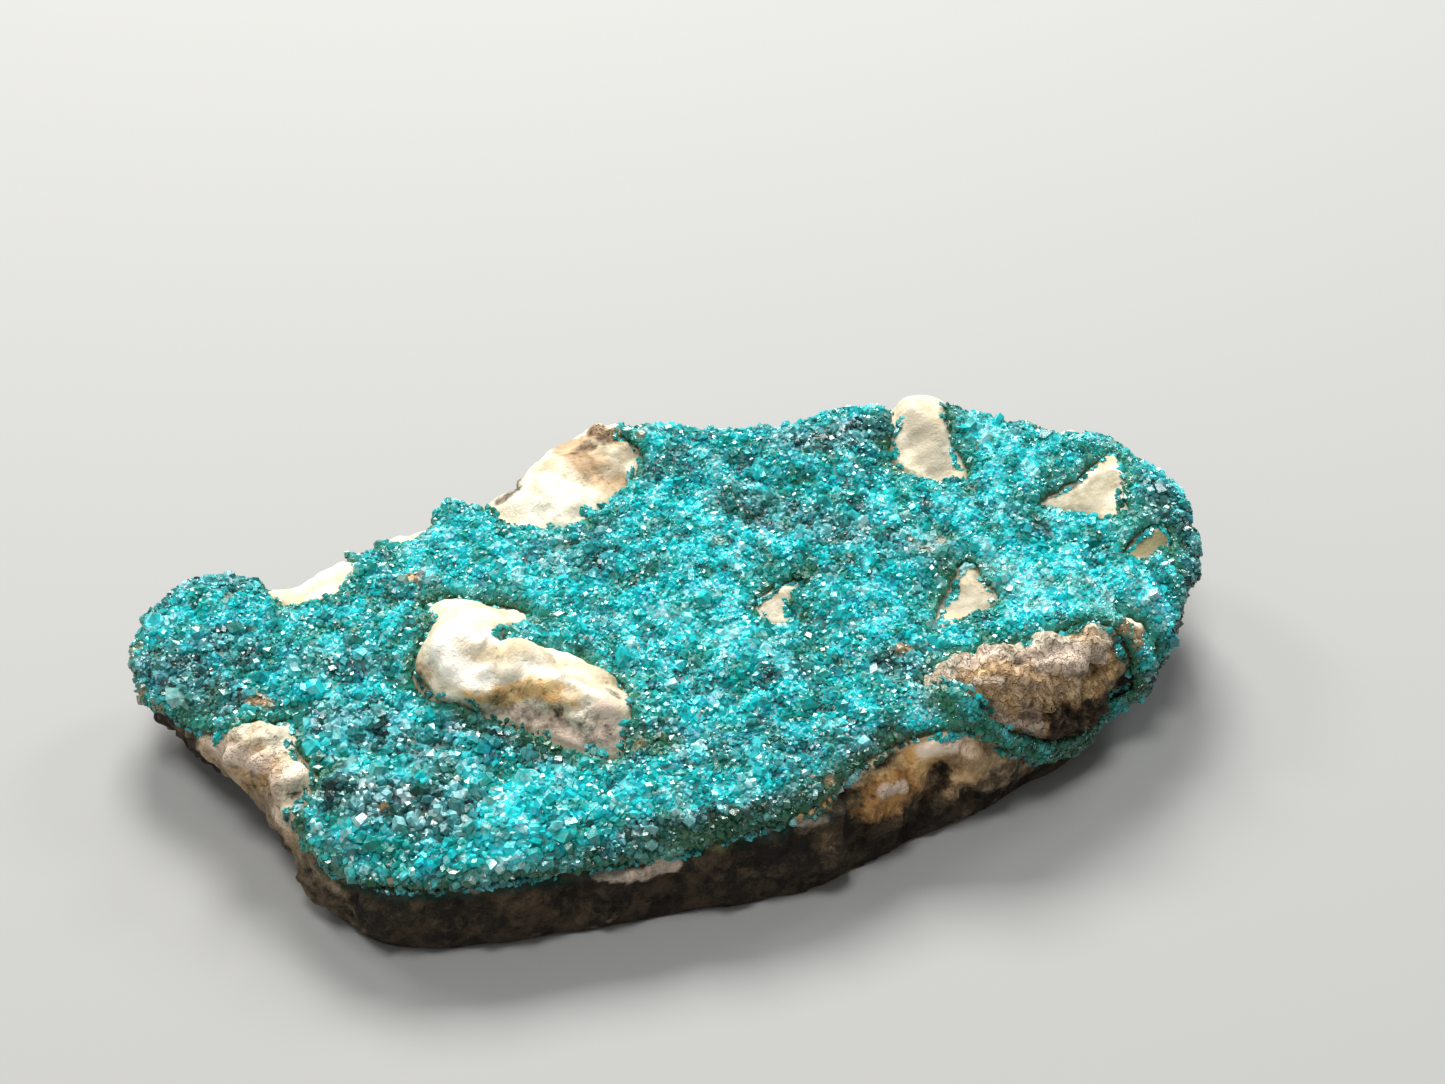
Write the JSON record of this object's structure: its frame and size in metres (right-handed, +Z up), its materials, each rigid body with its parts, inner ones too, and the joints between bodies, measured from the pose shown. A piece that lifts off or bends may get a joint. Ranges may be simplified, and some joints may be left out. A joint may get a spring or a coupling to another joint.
{
  "type": "dioptase cluster",
  "caption": "Thin mineral hand specimen: pale rusty carbonate rock slab under a sugary druse of tiny blue-green dioptase crystals, for display or handling.",
  "frame": {"origin": "middle of the specimen's footprint, on the flat base of the rock", "axes": "+X along the slab's length, from its narrow tip to its broad end; +Y across it, from its long broken front to its back edge; +Z up, out of the crystal side"},
  "size_m": [0.0458, 0.0254, 0.0078],
  "materials": {
    "rock": "matt, chalky cream carbonate with rusty brown stains and a rough broken edge",
    "dioptase": "glassy blue-green crystals, translucent, with bright glints on their faces"
  },
  "bodies": {
    "root": {"matrix": "rock", "dioptase_crust": "dioptase"}
  },
  "joints": []
}
